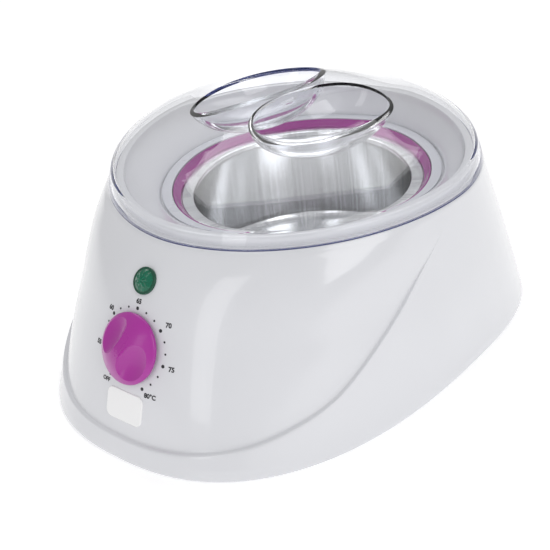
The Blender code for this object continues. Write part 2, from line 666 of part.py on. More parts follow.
def feet_and_screws():
    under = GROUND_GAP + 1.0 - FIT
    foot = [(0.0, FLOOR_INNER + 1.6), (1.6, FLOOR_INNER + 1.6), (3.0, FLOOR_INNER + FIT),
            (FOOT_STEM_R, FLOOR_INNER + FIT), (FOOT_STEM_R, under), (FOOT_R - 0.4, under),
            (FOOT_R, under - 0.5), (FOOT_R - 0.9, 0.4), (FOOT_R - 1.4, 0.0), (0.0, 0.0)]
    for i, spot in enumerate(corners(FOOT_XY)):
        place(turned(foot, 16, closed=False), "foot_%d" % (i + 1), RUBBER, corner(*spot))
    for i, spot in enumerate(corners(POST_XY)):
        place(screw_mesh(18.0, under), "base_screw_%d" % (i + 1), STEEL, corner(*spot))
    place(screw_mesh(BOSS_LOW + 5.0, under), "centre_bolt", STEEL, POT)


def knob_dome(radius):
    """Height of the knob's crown at a radius."""
    return mix(KNOB_H, KNOB_RIM, (radius / KNOB_R) ** 2)


def knob():
    """Low domed knob with a scoop on either side of its grip, hollow below for the nut and the neck."""
    nut_room, neck_room = NUT_R + 0.8, NECK_R + 0.8
    crown = [(KNOB_R * share, knob_dome(KNOB_R * share)) for share in (0.0, 0.2, 0.4, 0.6, 0.75, 0.88, 0.97)]
    body = turned(crown + [(KNOB_R, KNOB_RIM - 0.4), (KNOB_R - 0.2, KNOB_LOW), (nut_room, KNOB_LOW),
                           (nut_room, 2.8), (neck_room, 2.8), (neck_room, 3.3), (0.0, 3.3)], closed=False)
    obj = place(body, "knob_blank", None, DIAL, TOOLS)
    turn = Matrix.Rotation(math.radians(KNOB_SET - 180.0), 4, "Z")
    for side in (1, -1):
        spot = Matrix.Translation((side * 1.2 * MM, side * 12.5 * MM, (KNOB_H + 0.4) * MM))
        mesh = ellipsoid((14.6, 10.3, 5.6), 28, 14)
        frame = DIAL @ turn @ spot @ Matrix.Rotation(0.14, 4, "Z")
        cut(obj, tool(mesh, "knob_scoop_%d" % (side + 1), frame))
    cut(obj, tool(disc(SHAFT_R + FIT, 0.0, SHAFT_TOP + 0.5, 32), "knob_bore", DIAL))
    place(bake(obj), "control_knob", KNOB_PINK, DIAL)
    shaft = place(disc(SHAFT_R, -1.0, SHAFT_TOP, 32), "thermostat_shaft", BRASS, DIAL)
    flat = block((8.0, 4.0, 6.0), (0.0, SHAFT_R - 0.4 + 2.0, SHAFT_TOP - 0.6))
    cut(shaft, tool(flat, "shaft_flat", DIAL))


def thermostat():
    """Body behind the wall with a neck through it. The shaft turns inside the neck."""
    bore = SHAFT_R + FIT
    profile = [(0.0, -1.4), (bore, -1.4), (bore, 2.9), (NECK_R - 0.2, 2.9), (NECK_R, 2.6), (NECK_R, -3.9),
               (6.5, -3.9), (6.5, -5.6), (14.5, -5.6), (14.5, STAT_BACK), (0.0, STAT_BACK)]
    body = place(turned(profile, 28, closed=False), "thermostat_body", BLACK, DIAL)
    for x in (BLADE_X, -BLADE_X):
        blade = block((0.8, 6.0, 9.0), (x, 0.0, STAT_BACK - 3.5))
        cut(body, tool(blade, "blade_%d" % (x + 9), DIAL), "UNION")
    obj = place(disc(NUT_R, 0.6, 2.4, 6), "thermostat_nut", STEEL, DIAL)
    cut(obj, tool(disc(NECK_R + FIT, -2.0, 6.0, 32), "nut_bore", DIAL))


def lamp():
    stem = LENS_STEM_R
    place(turned([(0.0, 3.0), (2.4, 2.75), (4.2, 2.0), (5.3, 1.0), (LAMP_R, 0.55), (LAMP_R, -0.6),
                  (stem, -0.6), (stem, -8.0), (stem - 1.0, -8.0), (stem - 1.0, 0.2), (0.0, 1.2)],
                 28, closed=False),
          "pilot_lens", GREEN, LAMP)
    place(disc(stem, -19.0, -8.3, 32), "lamp_holder", CERAMIC, LAMP)
    place(ring(stem + FIT, 8.4, -5.6, -4.8, 24), "lamp_retainer", STEEL, LAMP)
    bulb = [(0.0, -1.4), (1.4, -1.9), (2.2, -3.2), (2.4, -5.0), (2.4, -8.0), (0.0, -8.0)]
    place(turned(bulb, 24, closed=False), "neon_bulb", CLEAR, LAMP)


def small_fittings():
    wide, tall, thick = LABEL_SIZE
    place(loft([rounded(wide, tall, LABEL_ROUND, FIT - thick), rounded(wide, tall, LABEL_ROUND, FIT - 0.3),
                rounded(wide - 0.6, tall - 0.6, LABEL_ROUND - 0.3, FIT)]), "label_plate", LABEL_WHITE, LABEL)
    place(turned([(3.2, 1.9), (6.9, 1.9), (7.9, 1.2), (7.9, -0.3), (GLAND_R, -0.3), (GLAND_R, -10.5),
                  (3.2, -10.5)], 32), "cord_gland", GLAND_GREY, REAR)
    nut = place(disc(8.8, -9.0, -7.0, 6), "gland_nut", GLAND_GREY, REAR)
    cut(nut, tool(disc(GLAND_R + FIT, -10.0, 0.0, 32), "gland_nut_bore", REAR))
    low = FLOOR_INNER + FIT
    block_body = place(block((36.0, 14.0, 12.0), (0.0, TERMINAL_Y, low + 6.0)), "terminal_block", CERAMIC, POT)
    for i in range(3):
        cut(block_body, tool(disc(2.2, low + 7.0, low + 20.0, 20), "terminal_well_%d" % i,
                             POT @ Matrix.Translation(((i - 1) * 11.0 * MM, TERMINAL_Y * MM, 0.0))))
    under = CHAMBER_BOTTOM - CHAMBER_WALL - FIT
    place(soft_block((14.0, 8.0, 5.0), (0.0, FUSE_Y, under - 2.5), 0.8, 2), "thermal_fuse", CERAMIC, POT)


def from_dial(x, y, z):
    """Point of the dial frame in millimetres from the pot axis."""
    spot = DIAL @ Vector((x * MM, y * MM, z * MM)) / MM
    return (spot.x, spot.y - POT_Y, spot.z)


def wiring():
    bulb_y = -(CHAMBER_OUT + FIT + 2.3)
    end = from_dial(0.0, 9.0, STAT_BACK - 0.5)
    points = [(-9.5, bulb_y, BULB_Z), (-8.0, bulb_y, BULB_Z), (6.0, bulb_y, BULB_Z), (8.5, bulb_y, BULB_Z),
              (10.5, bulb_y - 1.0, BULB_Z), (9.0, bulb_y - 14.0, BULB_Z + 0.5),
              (0.0, end[1] + 14.0, end[2] - 4.0), end]
    place(tube(points, [1.2, 2.0, 2.0, 1.6, 0.8, 0.8, 0.8, 0.8]), "sensing_bulb", COPPER, POT)
    wire = 1.1
    tip = STAT_BACK - 8.0 - 0.6 - wire
    terminal_y = TERMINAL_Y - 7.0 - 0.5
    fuse_z = CHAMBER_BOTTOM - CHAMBER_WALL - FIT - 2.5
    heater_y = -(BAND_R + 3.0)
    under_z = fuse_z - 1.9
    wide, near, far = STAND_R + 22.0, STAND_R + 14.0, STAND_R + 12.0
    runs = (("lead_supply", WIRE_RED, [(10.0, terminal_y, 13.0), (12.0, STAND_R + 20.0, 12.0),
                                       (far, STAND_R + 8.0, 11.0), (wide, 0.0, 11.0), (far, -far, 12.0),
                                       (16.0, heater_y - 22.0, 24.0), from_dial(BLADE_X, -2.0, tip - 4.0),
                                       from_dial(BLADE_X, 0.0, tip)]),
            ("lead_heater", WIRE_RED, [from_dial(-BLADE_X, 0.0, tip), from_dial(-BLADE_X, -2.0, tip - 4.0),
                                       (-10.0, heater_y - 13.9, LEAD_Z - 2.0), (-10.5, heater_y - 5.9, LEAD_Z),
                                       (-10.5, heater_y, LEAD_Z)]),
            ("lead_fuse", WIRE_BLUE, [(10.5, heater_y, LEAD_Z), (11.0, heater_y - 5.9, LEAD_Z - 2.0),
                                      (22.0, heater_y - 1.9, under_z + 0.5), (STAND_R + 10.0, -34.0, under_z),
                                      (near, 10.0, under_z), (STAND_R - 2.0, STAND_R + 6.0, under_z),
                                      (12.0, FUSE_Y, fuse_z), (8.0, FUSE_Y, fuse_z)]),
            ("lead_return", WIRE_BLUE, [(-8.0, FUSE_Y, fuse_z), (-12.0, FUSE_Y, fuse_z),
                                        (-12.0, STAND_R + 18.0, 14.0), (-10.0, terminal_y, 13.0)]))
    for name, mat, points in runs:
        place(tube(points, [wire] * len(points)), name, mat, POT)


housing()
lid()
mouth_rings()
pot()
chamber()
heater()
base()
feet_and_screws()
knob()
thermostat()
lamp()
small_fittings()
wiring()
bpy.context.view_layer.update()
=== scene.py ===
"""Looks of the wax warmer pot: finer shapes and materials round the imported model, studio and camera."""
import json
import math

import bmesh
import bpy
from mathutils import Matrix, Vector


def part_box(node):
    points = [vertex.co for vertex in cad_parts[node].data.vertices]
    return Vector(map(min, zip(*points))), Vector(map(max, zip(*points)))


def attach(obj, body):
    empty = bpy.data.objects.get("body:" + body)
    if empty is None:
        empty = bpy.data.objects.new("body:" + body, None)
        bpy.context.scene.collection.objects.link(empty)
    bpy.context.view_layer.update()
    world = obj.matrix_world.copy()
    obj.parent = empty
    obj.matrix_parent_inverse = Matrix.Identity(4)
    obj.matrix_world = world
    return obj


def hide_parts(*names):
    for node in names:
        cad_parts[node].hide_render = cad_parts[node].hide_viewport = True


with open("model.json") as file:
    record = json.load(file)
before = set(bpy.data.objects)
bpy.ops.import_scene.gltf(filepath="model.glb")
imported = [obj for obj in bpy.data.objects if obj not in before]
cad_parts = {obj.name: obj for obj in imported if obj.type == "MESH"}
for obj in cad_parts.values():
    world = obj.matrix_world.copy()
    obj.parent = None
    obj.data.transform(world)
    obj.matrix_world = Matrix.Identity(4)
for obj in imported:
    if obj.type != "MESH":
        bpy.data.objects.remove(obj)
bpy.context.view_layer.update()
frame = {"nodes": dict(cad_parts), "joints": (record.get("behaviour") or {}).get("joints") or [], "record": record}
MM = 0.001
JOINTS = {joint["name"]: joint for joint in frame["joints"]}


def box_mm(node):
    low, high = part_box(node)
    return low / MM, high / MM


# Places and sizes read from the frame, mm.
POT_LOW, POT_HIGH = box_mm("wax_pot")
LID_LOW, LID_HIGH = box_mm("clear_lid")
BODY_HIGH = box_mm("upper_housing")[1]
COLLAR_LOW, COLLAR_HIGH = box_mm("collar_ring")
POT_Y = (POT_LOW.y + POT_HIGH.y) / 2.0
POT_WALL = 0.9
POT_CORNER = 6.0               # fillet between the wall and the floor of the pot
POT_FLOOR_Z = POT_LOW.z + POT_WALL
FLANGE_Z = POT_HIGH.z
FLANGE_R = (POT_HIGH.x - POT_LOW.x) / 2.0
POT_R = FLANGE_R - 5.8
FUNNEL_R = FLANGE_R + 3.7
COLLAR_R = (COLLAR_HIGH.x - COLLAR_LOW.x) / 2.0
COLLAR_TOP = COLLAR_HIGH.z
SEAT_Z = LID_LOW.z - 0.3
LID_RISE = LID_HIGH.z - SEAT_Z
RIM_TOP = BODY_HIGH.z
WELL_FLOOR_Z = COLLAR_LOW.z - 0.3
WELL_FLOOR_R = COLLAR_R + 0.7
MOUTH_R = FUNNEL_R + 0.5
KNOB_SPOT = Vector(JOINTS["knob_turn"]["pos_m"]) / MM
KNOB_OUT = -Vector(JOINTS["knob_turn"]["axis"])

# Outline of the housing and of the lid, mm, as drawn in the model.
TOP_HALF_WIDTH = POT_R + 38.5
TOP_FRONT = POT_R + 42.0
TOP_BACK = POT_R + 28.0
BASE_HALF_WIDTH = TOP_HALF_WIDTH + 6.2
BASE_BACK = TOP_BACK + 15.5
TOP_EXPONENTS = (1.9, 1.85)
BASE_EXPONENTS = (2.47, 2.77)
FRONT_KNOTS = ((0.0, 49.0, -0.40), (47.2, 30.2, -0.50), (73.0, 13.9, -0.85), (85.0, 0.0, -1.40))
SWOOSH = ((-160.0, 9.0), (-141.0, 10.0), (-127.0, 12.5), (-116.0, 15.0), (-101.0, 19.5), (-92.0, 22.5),
          (-82.0, 27.0), (-70.7, 34.0), (-59.0, 42.0), (-46.0, 51.5), (-33.0, 62.5), (-23.6, 70.0),
          (-13.0, 79.0))
RECESS = 1.8
RECESS_FADE = (48.0, 76.0)
RIM_INSET = 4.5
RIM_WIDTH = 4.0
WIDEST_Z = 6.0
SKIRT_LOW = 0.5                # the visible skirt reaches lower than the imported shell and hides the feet
LID_WALL = 2.2
LID_INSET = 0.2
GRIP_TURN = math.radians(65.0)
CUP_HALF = (33.3, 20.8, 18.5)
GRIP_MID = (-0.9, -2.0)
CUP_SHIFT = 5.9
CUP_OFF = 22.4
CUP_LEVEL = SEAT_Z + LID_RISE - 3.0
SHELL_INNER = 4.6              # from the outline to the inner face of the shell
WELL_WALL = 2.6
WELL_STEPS = 14
FRONT_STEPS = 26
KNOB_R = 15.6
KNOB_RIM = 2.3
KNOB_H = 8.5
KNOB_LOW = 0.9
KNOB_SET = 235.0               # degrees, how the scoops are turned at rest
SCOOP_HALF = (15.2, 8.8, 5.5)
SCOOP_SPOT = (1.2, 11.0, KNOB_H + 0.2)
SCOOP_SKEW = 0.14
DOT_R = 18.1
DIAL_START = -101.0            # degrees clockwise from the top to the first number
DIAL_STEP = 16.75
OFF_AT = -145.0
DOT_COUNT = 16
DOTS_A_NUMBER = 3
BIG_DOT = (0.78, 0.8 * 0.78)   # rim and top radius
SMALL_DOT = (0.48, 0.8 * 0.48)
OFF_DOT = (0.78, 0.62)
MARKS = (("55", 21.4, 0.0), ("60", 21.0, 0.0), ("65", 21.0, 0.0), ("70", 22.5, 0.0), ("75", 22.4, 0.0),
         ("80°C", 22.6, -7.0))    # text, radius and shift in degrees from its dot
BEZEL_R = 6.0
BEZEL_INNER = 4.6
LENS_R = 5.0
LENS_CROWN = 2.3
LENS_DROP = 1.5
LENS_RINGS = 4
FACETS = 18
FACET_LIFT = 0.34
AROUND = 256
TURN_STEPS = 128


def smooth(low, high, x):
    u = min(max((x - low) / (high - low), 0.0), 1.0)
    return u * u * (3.0 - 2.0 * u)


def mix(a, b, t):
    return a + (b - a) * t


def hermite(knots, x):
    """Smooth curve through (x, y) knots, with slopes from each knot's neighbours."""
    if x <= knots[0][0]:
        return knots[0][1]
    last = len(knots) - 1
    i = max(k for k in range(last + 1) if knots[k][0] <= x)
    if i >= last:
        slope = (knots[last][1] - knots[last - 1][1]) / (knots[last][0] - knots[last - 1][0])
        return knots[last][1] + slope * (x - knots[last][0])

    def slope_at(k):
        a, b = knots[max(k - 1, 0)], knots[min(k + 1, last)]
        return (b[1] - a[1]) / (b[0] - a[0])

    (x0, y0), (x1, y1) = knots[i], knots[i + 1]
    span = x1 - x0
    u = (x - x0) / span
    near = (2 * u ** 3 - 3 * u ** 2 + 1) * y0 + (u ** 3 - 2 * u ** 2 + u) * span * slope_at(i)
    return near + (3 * u ** 2 - 2 * u ** 3) * y1 + (u ** 3 - u ** 2) * span * slope_at(i + 1)


def front_depth(z):
    z = min(max(z, 0.0), FRONT_KNOTS[-1][0])
    for (z0, y0, s0), (z1, y1, s1) in zip(FRONT_KNOTS, FRONT_KNOTS[1:]):
        if z <= z1:
            break
    span = z1 - z0
    u = (z - z0) / span
    near = (2 * u ** 3 - 3 * u ** 2 + 1) * y0 + (u ** 3 - 2 * u ** 2 + u) * span * s0
    return TOP_FRONT + near + (3 * u ** 2 - 2 * u ** 3) * y1 + (u ** 3 - u ** 2) * span * s1


def recess(z):
    return RECESS * (1.0 - smooth(*RECESS_FADE, z))


def oval_point(angle, size, exponents, inset):
    """Point of an egg-shaped outline round the pot axis. Size is (half width, front, back)."""
    c, s = math.cos(angle), math.sin(angle)
    depth, exponent = (size[1], exponents[0]) if s < 0 else (size[2], exponents[1])
    x = (size[0] - inset) * math.copysign(abs(c) ** (2.0 / exponent), c)
    y = (depth - inset) * math.copysign(abs(s) ** (2.0 / exponent), s)
    return x, y


def body_section(z):
    t = min(max((SEAT_Z - z) / SEAT_Z, 0.0), 1.0)
    size = (mix(TOP_HALF_WIDTH, BASE_HALF_WIDTH, t), front_depth(z), mix(TOP_BACK, BASE_BACK, t))
    return size, [mix(a, b, t) for a, b in zip(TOP_EXPONENTS, BASE_EXPONENTS)]


def body_point(angle, z, inset=0.0):
    x, y = oval_point(angle, *body_section(z), inset)
    return x, y, z


def top_point(angle, z, inset):
    x, y = oval_point(angle, (TOP_HALF_WIDTH, TOP_FRONT, TOP_BACK), TOP_EXPONENTS, inset)
    return x, y, z


def round_point(angle, z, radius):
    return radius * math.cos(angle), radius * math.sin(angle), z


def front_point(x, z, lift=0.0):
    """Point of the front shell at a width and a height, from the pot axis."""
    size, exponents = body_section(z)
    inset = recess(z) - lift
    share = min(abs(x) / (size[0] - inset), 1.0)
    y = -(size[1] - inset) * (1.0 - share ** exponents[0]) ** (1.0 / exponents[0])
    return Vector((x, y + POT_Y, z))


def swoosh_height(angle):
    """Height at which the column of the shell at an angle crosses the step between skirt and front shell."""
    low, high = WIDEST_Z + 1.5, SEAT_Z - 5.0
    for _ in range(26):
        mid = (low + high) / 2.0
        if mid < hermite(SWOOSH, body_point(angle, mid)[1]):
            low = mid
        else:
            high = mid
    return low


def new_object(name, bm, material, body, crease=40.0):
    """Mesh in millimetres, put in place in metres, smooth but for edges sharper than crease degrees."""
    bmesh.ops.scale(bm, vec=(MM, MM, MM), verts=bm.verts)
    bmesh.ops.recalc_face_normals(bm, faces=bm.faces)
    limit = math.radians(crease)
    for face in bm.faces:
        face.smooth = True
    for edge in bm.edges:
        edge.smooth = len(edge.link_faces) == 2 and edge.calc_face_angle(0.0) < limit
    mesh = bpy.data.meshes.new(name)
    bm.to_mesh(mesh)
    bm.free()
    obj = bpy.data.objects.new(name, mesh)
    bpy.context.scene.collection.objects.link(obj)
    mesh.materials.append(material)
    if body is not None:
        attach(obj, body)
    return obj


def loft(rows, closed=False, tip=None):
    """Quads between rows of equal length. Closed joins the last row to the first. A tip caps both ends."""
    bm = bmesh.new()
    rings = [[bm.verts.new(p) for p in row] for row in rows]
    count = len(rings[0])
    pairs = list(zip(rings, rings[1:]))
    if closed:
        pairs.append((rings[-1], rings[0]))
    for lower, upper in pairs:
        for i in range(count):
            j = (i + 1) % count
            bm.faces.new((lower[i], lower[j], upper[j], upper[i]))
    if tip is not None:
        bm.faces.new(rings[0])
        top = bm.verts.new(tip)
        for i in range(count):
            bm.faces.new((rings[-1][i], rings[-1][(i + 1) % count], top))
    bmesh.ops.recalc_face_normals(bm, faces=bm.faces)
    return bm


def turned(profile, steps=TURN_STEPS, matrix=None):
    """Solid of revolution about local Z from (radius, height) points, closed through the axis or on
    itself."""
    bm = bmesh.new()
    rings = []
    for radius, z in profile:
        if radius < 1e-6:
            rings.append([bm.verts.new((0.0, 0.0, z))] * steps)
        else:
            turn = [2.0 * math.pi * i / steps for i in range(steps)]
            rings.append([bm.verts.new((radius * math.cos(a), radius * math.sin(a), z)) for a in turn])
    pairs = list(zip(rings, rings[1:]))
    if profile[0][0] > 1e-6:
        pairs.append((rings[-1], rings[0]))
    for one, two in pairs:
        for i in range(steps):
            j = (i + 1) % steps
            corners = list(dict.fromkeys((one[i], one[j], two[j], two[i])))
            if len(corners) > 2:
                bm.faces.new(corners)
    bmesh.ops.recalc_face_normals(bm, faces=bm.faces)
    if matrix is not None:
        bmesh.ops.transform(bm, matrix=matrix, verts=bm.verts)
    return bm


def rounded_profile(points, radius=0.25, steps=3):
    """Closed profile with each corner replaced by a short arc."""
    out = []
    count = len(points)
    for i, point in enumerate(points):
        here = Vector(point)
        before, after = Vector(points[i - 1]) - here, Vector(points[(i + 1) % count]) - here
        reach = min(radius, before.length * 0.4, after.length * 0.4)
        start, end = here + before.normalized() * reach, here + after.normalized() * reach
        for k in range(steps + 1):
            t = k / steps
            out.append(tuple(start * (1 - t) ** 2 + here * 2 * t * (1 - t) + end * t * t))
    return out


# --- materials ---------------------------------------------------------------------------------

def principled(name, colour, rough, metal=0.0):
    mat = bpy.data.materials.new(name)
    mat.use_nodes = True
    shader = mat.node_tree.nodes["Principled BSDF"]
    shader.inputs["Base Color"].default_value = (*colour, 1.0)
    shader.inputs["Roughness"].default_value = rough
    shader.inputs["Metallic"].default_value = metal
    return mat, mat.node_tree, shader


def noise(tree, scale, detail=3.0, stretch=(1.0, 1.0, 1.0), vector=None):
    coords = tree.nodes.new("ShaderNodeTexCoord")
    mapping = tree.nodes.new("ShaderNodeMapping")
    mapping.inputs["Scale"].default_value = stretch
    texture = tree.nodes.new("ShaderNodeTexNoise")
    texture.inputs["Scale"].default_value = scale
    texture.inputs["Detail"].default_value = detail
    tree.links.new(vector or coords.outputs["Object"], mapping.inputs["Vector"])
    tree.links.new(mapping.outputs["Vector"], texture.inputs["Vector"])
    return texture.outputs["Fac"]


def spread(tree, factor, low, high, socket):
    """Maps a 0 to 1 factor to a range and links it to a socket."""
    node = tree.nodes.new("ShaderNodeMapRange")
    node.inputs["From Min"].default_value = 0.3
    node.inputs["From Max"].default_value = 0.7
    node.inputs["To Min"].default_value = low
    node.inputs["To Max"].default_value = high
    tree.links.new(factor, node.inputs["Value"])
    tree.links.new(node.outputs["Result"], socket)


def tint(tree, factor, one, two, socket):
    node = tree.nodes.new("ShaderNodeValToRGB")
    node.color_ramp.elements[0].position = 0.35
    node.color_ramp.elements[1].position = 0.65
    node.color_ramp.elements[0].color = (*one, 1.0)
    node.color_ramp.elements[1].color = (*two, 1.0)
    tree.links.new(factor, node.inputs["Fac"])
    tree.links.new(node.outputs["Color"], socket)


def bump(tree, shader, factor, strength, distance):
    node = tree.nodes.new("ShaderNodeBump")
    node.inputs["Strength"].default_value = strength
    node.inputs["Distance"].default_value = distance
    tree.links.new(factor, node.inputs["Height"])
    tree.links.new(node.outputs["Normal"], shader.inputs["Normal"])


def shade(colour, share):
    return [c * share for c in colour]


def moulded(name, colour, rough, coat=0.0, grain=1500.0, depth=0.00002, drift=0.96, strength=0.08):
    """Moulded plastic or rubber: faint drift of tone, patchy gloss and a fine skin."""
    mat, tree, shader = principled(name, colour, rough)
    shader.inputs["Coat Weight"].default_value = coat
    shader.inputs["Coat Roughness"].default_value = 0.04
    tint(tree, noise(tree, 14.0, 2.0), shade(colour, drift), colour, shader.inputs["Base Color"])
    spread(tree, noise(tree, 60.0, 4.0), rough * 0.85, rough * 1.2, shader.inputs["Roughness"])
    bump(tree, shader, noise(tree, grain, 2.0), strength, depth)
    return mat


def metal(name, colour, rough, stretch=(1.0, 1.0, 1.0), scale=900.0, drift=0.85, strength=0.15):
    """Bare metal with a directional grain."""
    mat, tree, shader = principled(name, colour, rough, 1.0)
    grain = noise(tree, scale, 5.0, stretch)
    tint(tree, grain, shade(colour, drift), colour, shader.inputs["Base Color"])
    spread(tree, grain, rough * 0.75, rough * 1.3, shader.inputs["Roughness"])
    bump(tree, shader, grain, strength, 0.00002)
    return mat


def spun_metal(name, colour, rough):
    """Drawn aluminium: fine and broad streaks that follow the angle about the pot axis."""
    mat, tree, shader = principled(name, colour, rough, 1.0)
    coords = tree.nodes.new("ShaderNodeTexCoord")
    centred = tree.nodes.new("ShaderNodeMapping")
    centred.inputs["Location"].default_value = (0.0, -POT_Y * MM, 0.0)
    tree.links.new(coords.outputs["Object"], centred.inputs["Vector"])
    angle = tree.nodes.new("ShaderNodeTexGradient")
    angle.gradient_type = "RADIAL"
    tree.links.new(centred.outputs["Vector"], angle.inputs["Vector"])
    streaks = noise(tree, 140.0, 6.0, (1.0, 1.0, 1.0), angle.outputs["Fac"])
    broad = noise(tree, 16.0, 2.0, (1.0, 1.0, 1.0), angle.outputs["Fac"])
    both = tree.nodes.new("ShaderNodeMath")
    both.operation = "MULTIPLY_ADD"
    both.inputs[1].default_value = 0.55
    tree.links.new(streaks, both.inputs[0])
    half = tree.nodes.new("ShaderNodeMath")
    half.operation = "MULTIPLY"
    half.inputs[1].default_value = 0.45
    tree.links.new(broad, half.inputs[0])
    tree.links.new(half.outputs[0], both.inputs[2])
    tint(tree, both.outputs[0], shade(colour, 0.72), colour, shader.inputs["Base Color"])
    spread(tree, streaks, rough * 0.8, rough * 1.35, shader.inputs["Roughness"])
    bump(tree, shader, streaks, 0.12, 0.00005)
    return mat


def lit_behind(tree, shader):
    """Light from lamps and off other surfaces goes straight through, so that what is behind is lit."""
    path = tree.nodes.new("ShaderNodeLightPath")
    last = shader.outputs["BSDF"]
    for ray in ("Is Shadow Ray", "Is Diffuse Ray"):
        opening = tree.nodes.new("ShaderNodeBsdfTransparent")
        choice = tree.nodes.new("ShaderNodeMixShader")
        tree.links.new(path.outputs[ray], choice.inputs[0])
        tree.links.new(last, choice.inputs[1])
        tree.links.new(opening.outputs["BSDF"], choice.inputs[2])
        last = choice.outputs[0]
    tree.links.new(last, tree.nodes["Material Output"].inputs["Surface"])


def clear(name, colour, rough=0.02, weight=1.0, ior=1.46, coat=0.0):
    """Clear plastic with the faint waviness of a moulding."""
    mat, tree, shader = principled(name, colour, rough)
    shader.inputs["Transmission Weight"].default_value = weight
    shader.inputs["IOR"].default_value = ior
    shader.inputs["Coat Weight"].default_value = coat
    lit_behind(tree, shader)
    bump(tree, shader, noise(tree, 18.0, 1.0), 0.05, 0.0003)
    spread(tree, noise(tree, 90.0, 4.0), rough * 0.6, rough * 1.6, shader.inputs["Roughness"])
    return mat


def woven(name, colour, rough):
    mat, tree, shader = principled(name, colour, rough)
    wave = tree.nodes.new("ShaderNodeTexWave")
    wave.inputs["Scale"].default_value = 420.0
    wave.inputs["Distortion"].default_value = 2.0
    coords = tree.nodes.new("ShaderNodeTexCoord")
    tree.links.new(coords.outputs["Object"], wave.inputs["Vector"])
    tint(tree, wave.outputs["Fac"], shade(colour, 0.7), colour, shader.inputs["Base Color"])
    bump(tree, shader, wave.outputs["Fac"], 0.4, 0.0003)
    return mat


WHITE = moulded("white_gloss_plastic", (0.745, 0.751, 0.785), 0.2, coat=0.7)
BASE_WHITE = moulded("white_satin_plastic", (0.72, 0.72, 0.75), 0.42)
GREY = moulded("grey_collar_plastic", (0.66, 0.67, 0.72), 0.3, coat=0.2)
MAGENTA = moulded("magenta_ring_plastic", (0.34, 0.02, 0.27), 0.22, coat=0.5, drift=0.85)
KNOB_PINK = moulded("magenta_knob_plastic", (0.41, 0.02, 0.33), 0.3, coat=0.25, drift=0.92, depth=0.00004)
CLEAR = clear("clear_lid_plastic", (0.975, 0.98, 1.0), 0.015, ior=1.22, coat=0.6)
# Navy for the lid's lowest band: partly the plastic's own tint seen through its thickness, partly painted shade
# for the dark line that light bent through the clear edge gives.
LID_EDGE_TINT_AND_SHADE = clear("lid_edge_tint_and_painted_shade", (0.03, 0.04, 0.16), 0.08, 0.3)
GREEN = clear("green_lens_plastic", (0.0, 0.11, 0.05), 0.06, 0.2, 1.5)
GREEN_BEZEL = moulded("green_bezel_plastic", (0.0, 0.075, 0.038), 0.15, coat=0.2, drift=0.7)
ALUMINIUM = spun_metal("drawn_aluminium", (0.86, 0.87, 0.88), 0.2)
CAST = metal("cast_aluminium", (0.60, 0.61, 0.62), 0.5, scale=260.0)
STEEL = metal("zinc_plated_steel", (0.66, 0.66, 0.68), 0.3, (1.0, 1.0, 8.0))
BRASS = metal("turned_brass", (0.72, 0.55, 0.25), 0.32, (1.0, 1.0, 6.0))
COPPER = metal("drawn_copper", (0.72, 0.36, 0.23), 0.28, (6.0, 1.0, 1.0))
RUBBER = moulded("black_rubber", (0.035, 0.035, 0.04), 0.75, grain=700.0, depth=0.0001, drift=0.7,
                 strength=0.3)
SILICONE = moulded("orange_silicone", (0.55, 0.14, 0.04), 0.6, grain=500.0, depth=0.0001, drift=0.8)
FIBRE = woven("glass_fibre_weave", (0.72, 0.69, 0.60), 0.9)
CERAMIC = moulded("unglazed_ceramic", (0.78, 0.75, 0.69), 0.6, grain=900.0, depth=0.00006, drift=0.88)
BLACK = moulded("black_phenolic", (0.03, 0.03, 0.033), 0.45, drift=0.7)
LABEL = moulded("blank_label_foil", (0.93, 0.93, 0.935), 0.22, coat=0.4, drift=0.98)
GLAND = moulded("grey_gland_plastic", (0.16, 0.16, 0.175), 0.5, drift=0.85)
INK = moulded("black_ink", (0.02, 0.02, 0.025), 0.45, drift=0.6)
RED_SLEEVE = moulded("red_sleeve", (0.48, 0.03, 0.02), 0.45, drift=0.8)
BLUE_SLEEVE = moulded("blue_sleeve", (0.03, 0.07, 0.42), 0.45, drift=0.8)
BULB = clear("bulb_glass_clear", (1.0, 0.95, 0.9), 0.01)

SLOT_MATERIALS = {
    "housing_white": WHITE, "base_white": BASE_WHITE, "collar_grey": GREY, "accent_magenta": MAGENTA,
    "knob_magenta": KNOB_PINK, "lid_clear": CLEAR, "lamp_green": GREEN, "bulb_glass": BULB,
    "pot_aluminium": ALUMINIUM, "chamber_aluminium": CAST, "plated_steel": STEEL, "foot_rubber": RUBBER,
    "heater_silicone": SILICONE, "glass_fibre_wrap": FIBRE, "terminal_ceramic": CERAMIC,
    "thermostat_black": BLACK, "bulb_copper": COPPER, "shaft_brass": BRASS, "label_white": LABEL,
    "gland_grey": GLAND, "lead_red": RED_SLEEVE, "lead_blue": BLUE_SLEEVE}


def paint_cad():
    """Each CAD node takes the material of its slot, and round ones are shaded smooth."""
    for part in frame["record"]["subparts"]:
        obj = frame["nodes"][part["node"]]
        obj.data.materials.clear()
        obj.data.materials.append(SLOT_MATERIALS[part["material_slot"]])
        for face in obj.data.polygons:
            face.use_smooth = True
        bm = bmesh.new()
        bm.from_mesh(obj.data)
        welded = {}
        for edge in bm.edges:
            welded[edge.index] = len(edge.link_faces) == 2 and edge.calc_face_angle(0.0) < 0.6
        bm.free()
        for edge in obj.data.edges:
            edge.use_edge_sharp = not welded[edge.index]


# --- housing ------------------------------------------------------------------------------------

